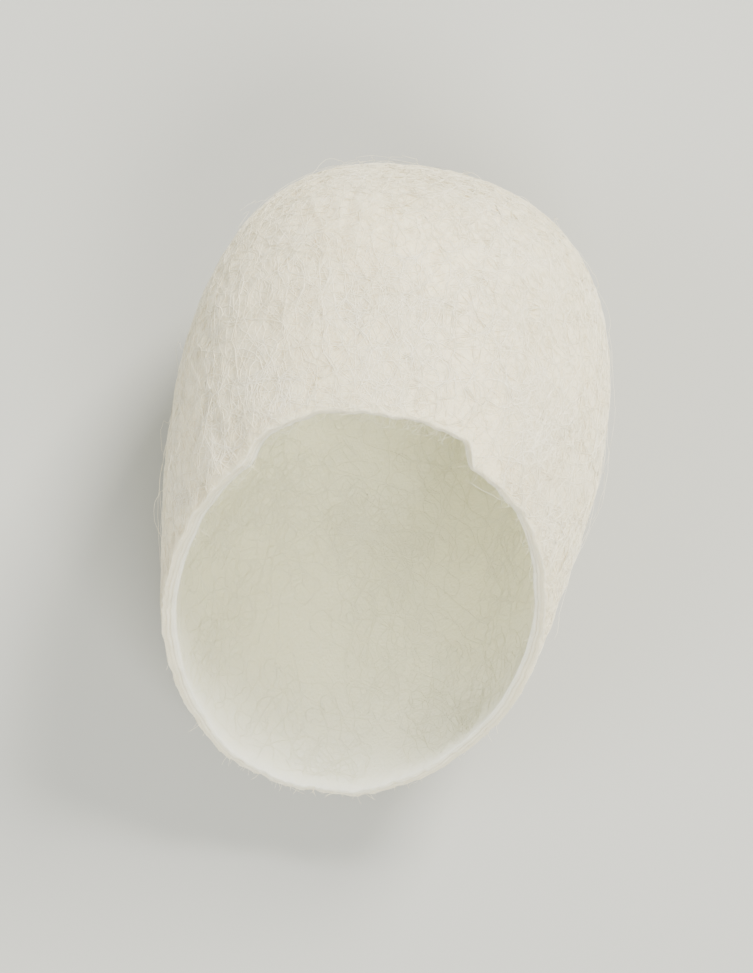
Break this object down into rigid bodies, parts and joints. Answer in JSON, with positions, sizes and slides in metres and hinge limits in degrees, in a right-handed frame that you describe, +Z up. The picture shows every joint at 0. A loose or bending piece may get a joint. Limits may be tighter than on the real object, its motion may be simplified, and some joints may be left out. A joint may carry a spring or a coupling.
{
  "type": "silk cocoon",
  "caption": "Empty off-white silkworm cocoon: a thin egg-shaped silk shell, closed at one end, cut open with a slanting mouth and lying on its back.",
  "frame": {"origin": "on the resting surface, below the centre of the cocoon's bounding box", "axes": "+Y along the cocoon towards its closed end, +Z up from the belly it rests on, with the slanting mouth facing -Y and up, +X across it"},
  "size_m": [0.0198, 0.0296, 0.019],
  "materials": {
    "silk": "matte to satin off-white spun silk with a fine crinkled, felted surface"
  },
  "bodies": {
    "root": {"cocoon": "silk"}
  },
  "joints": []
}
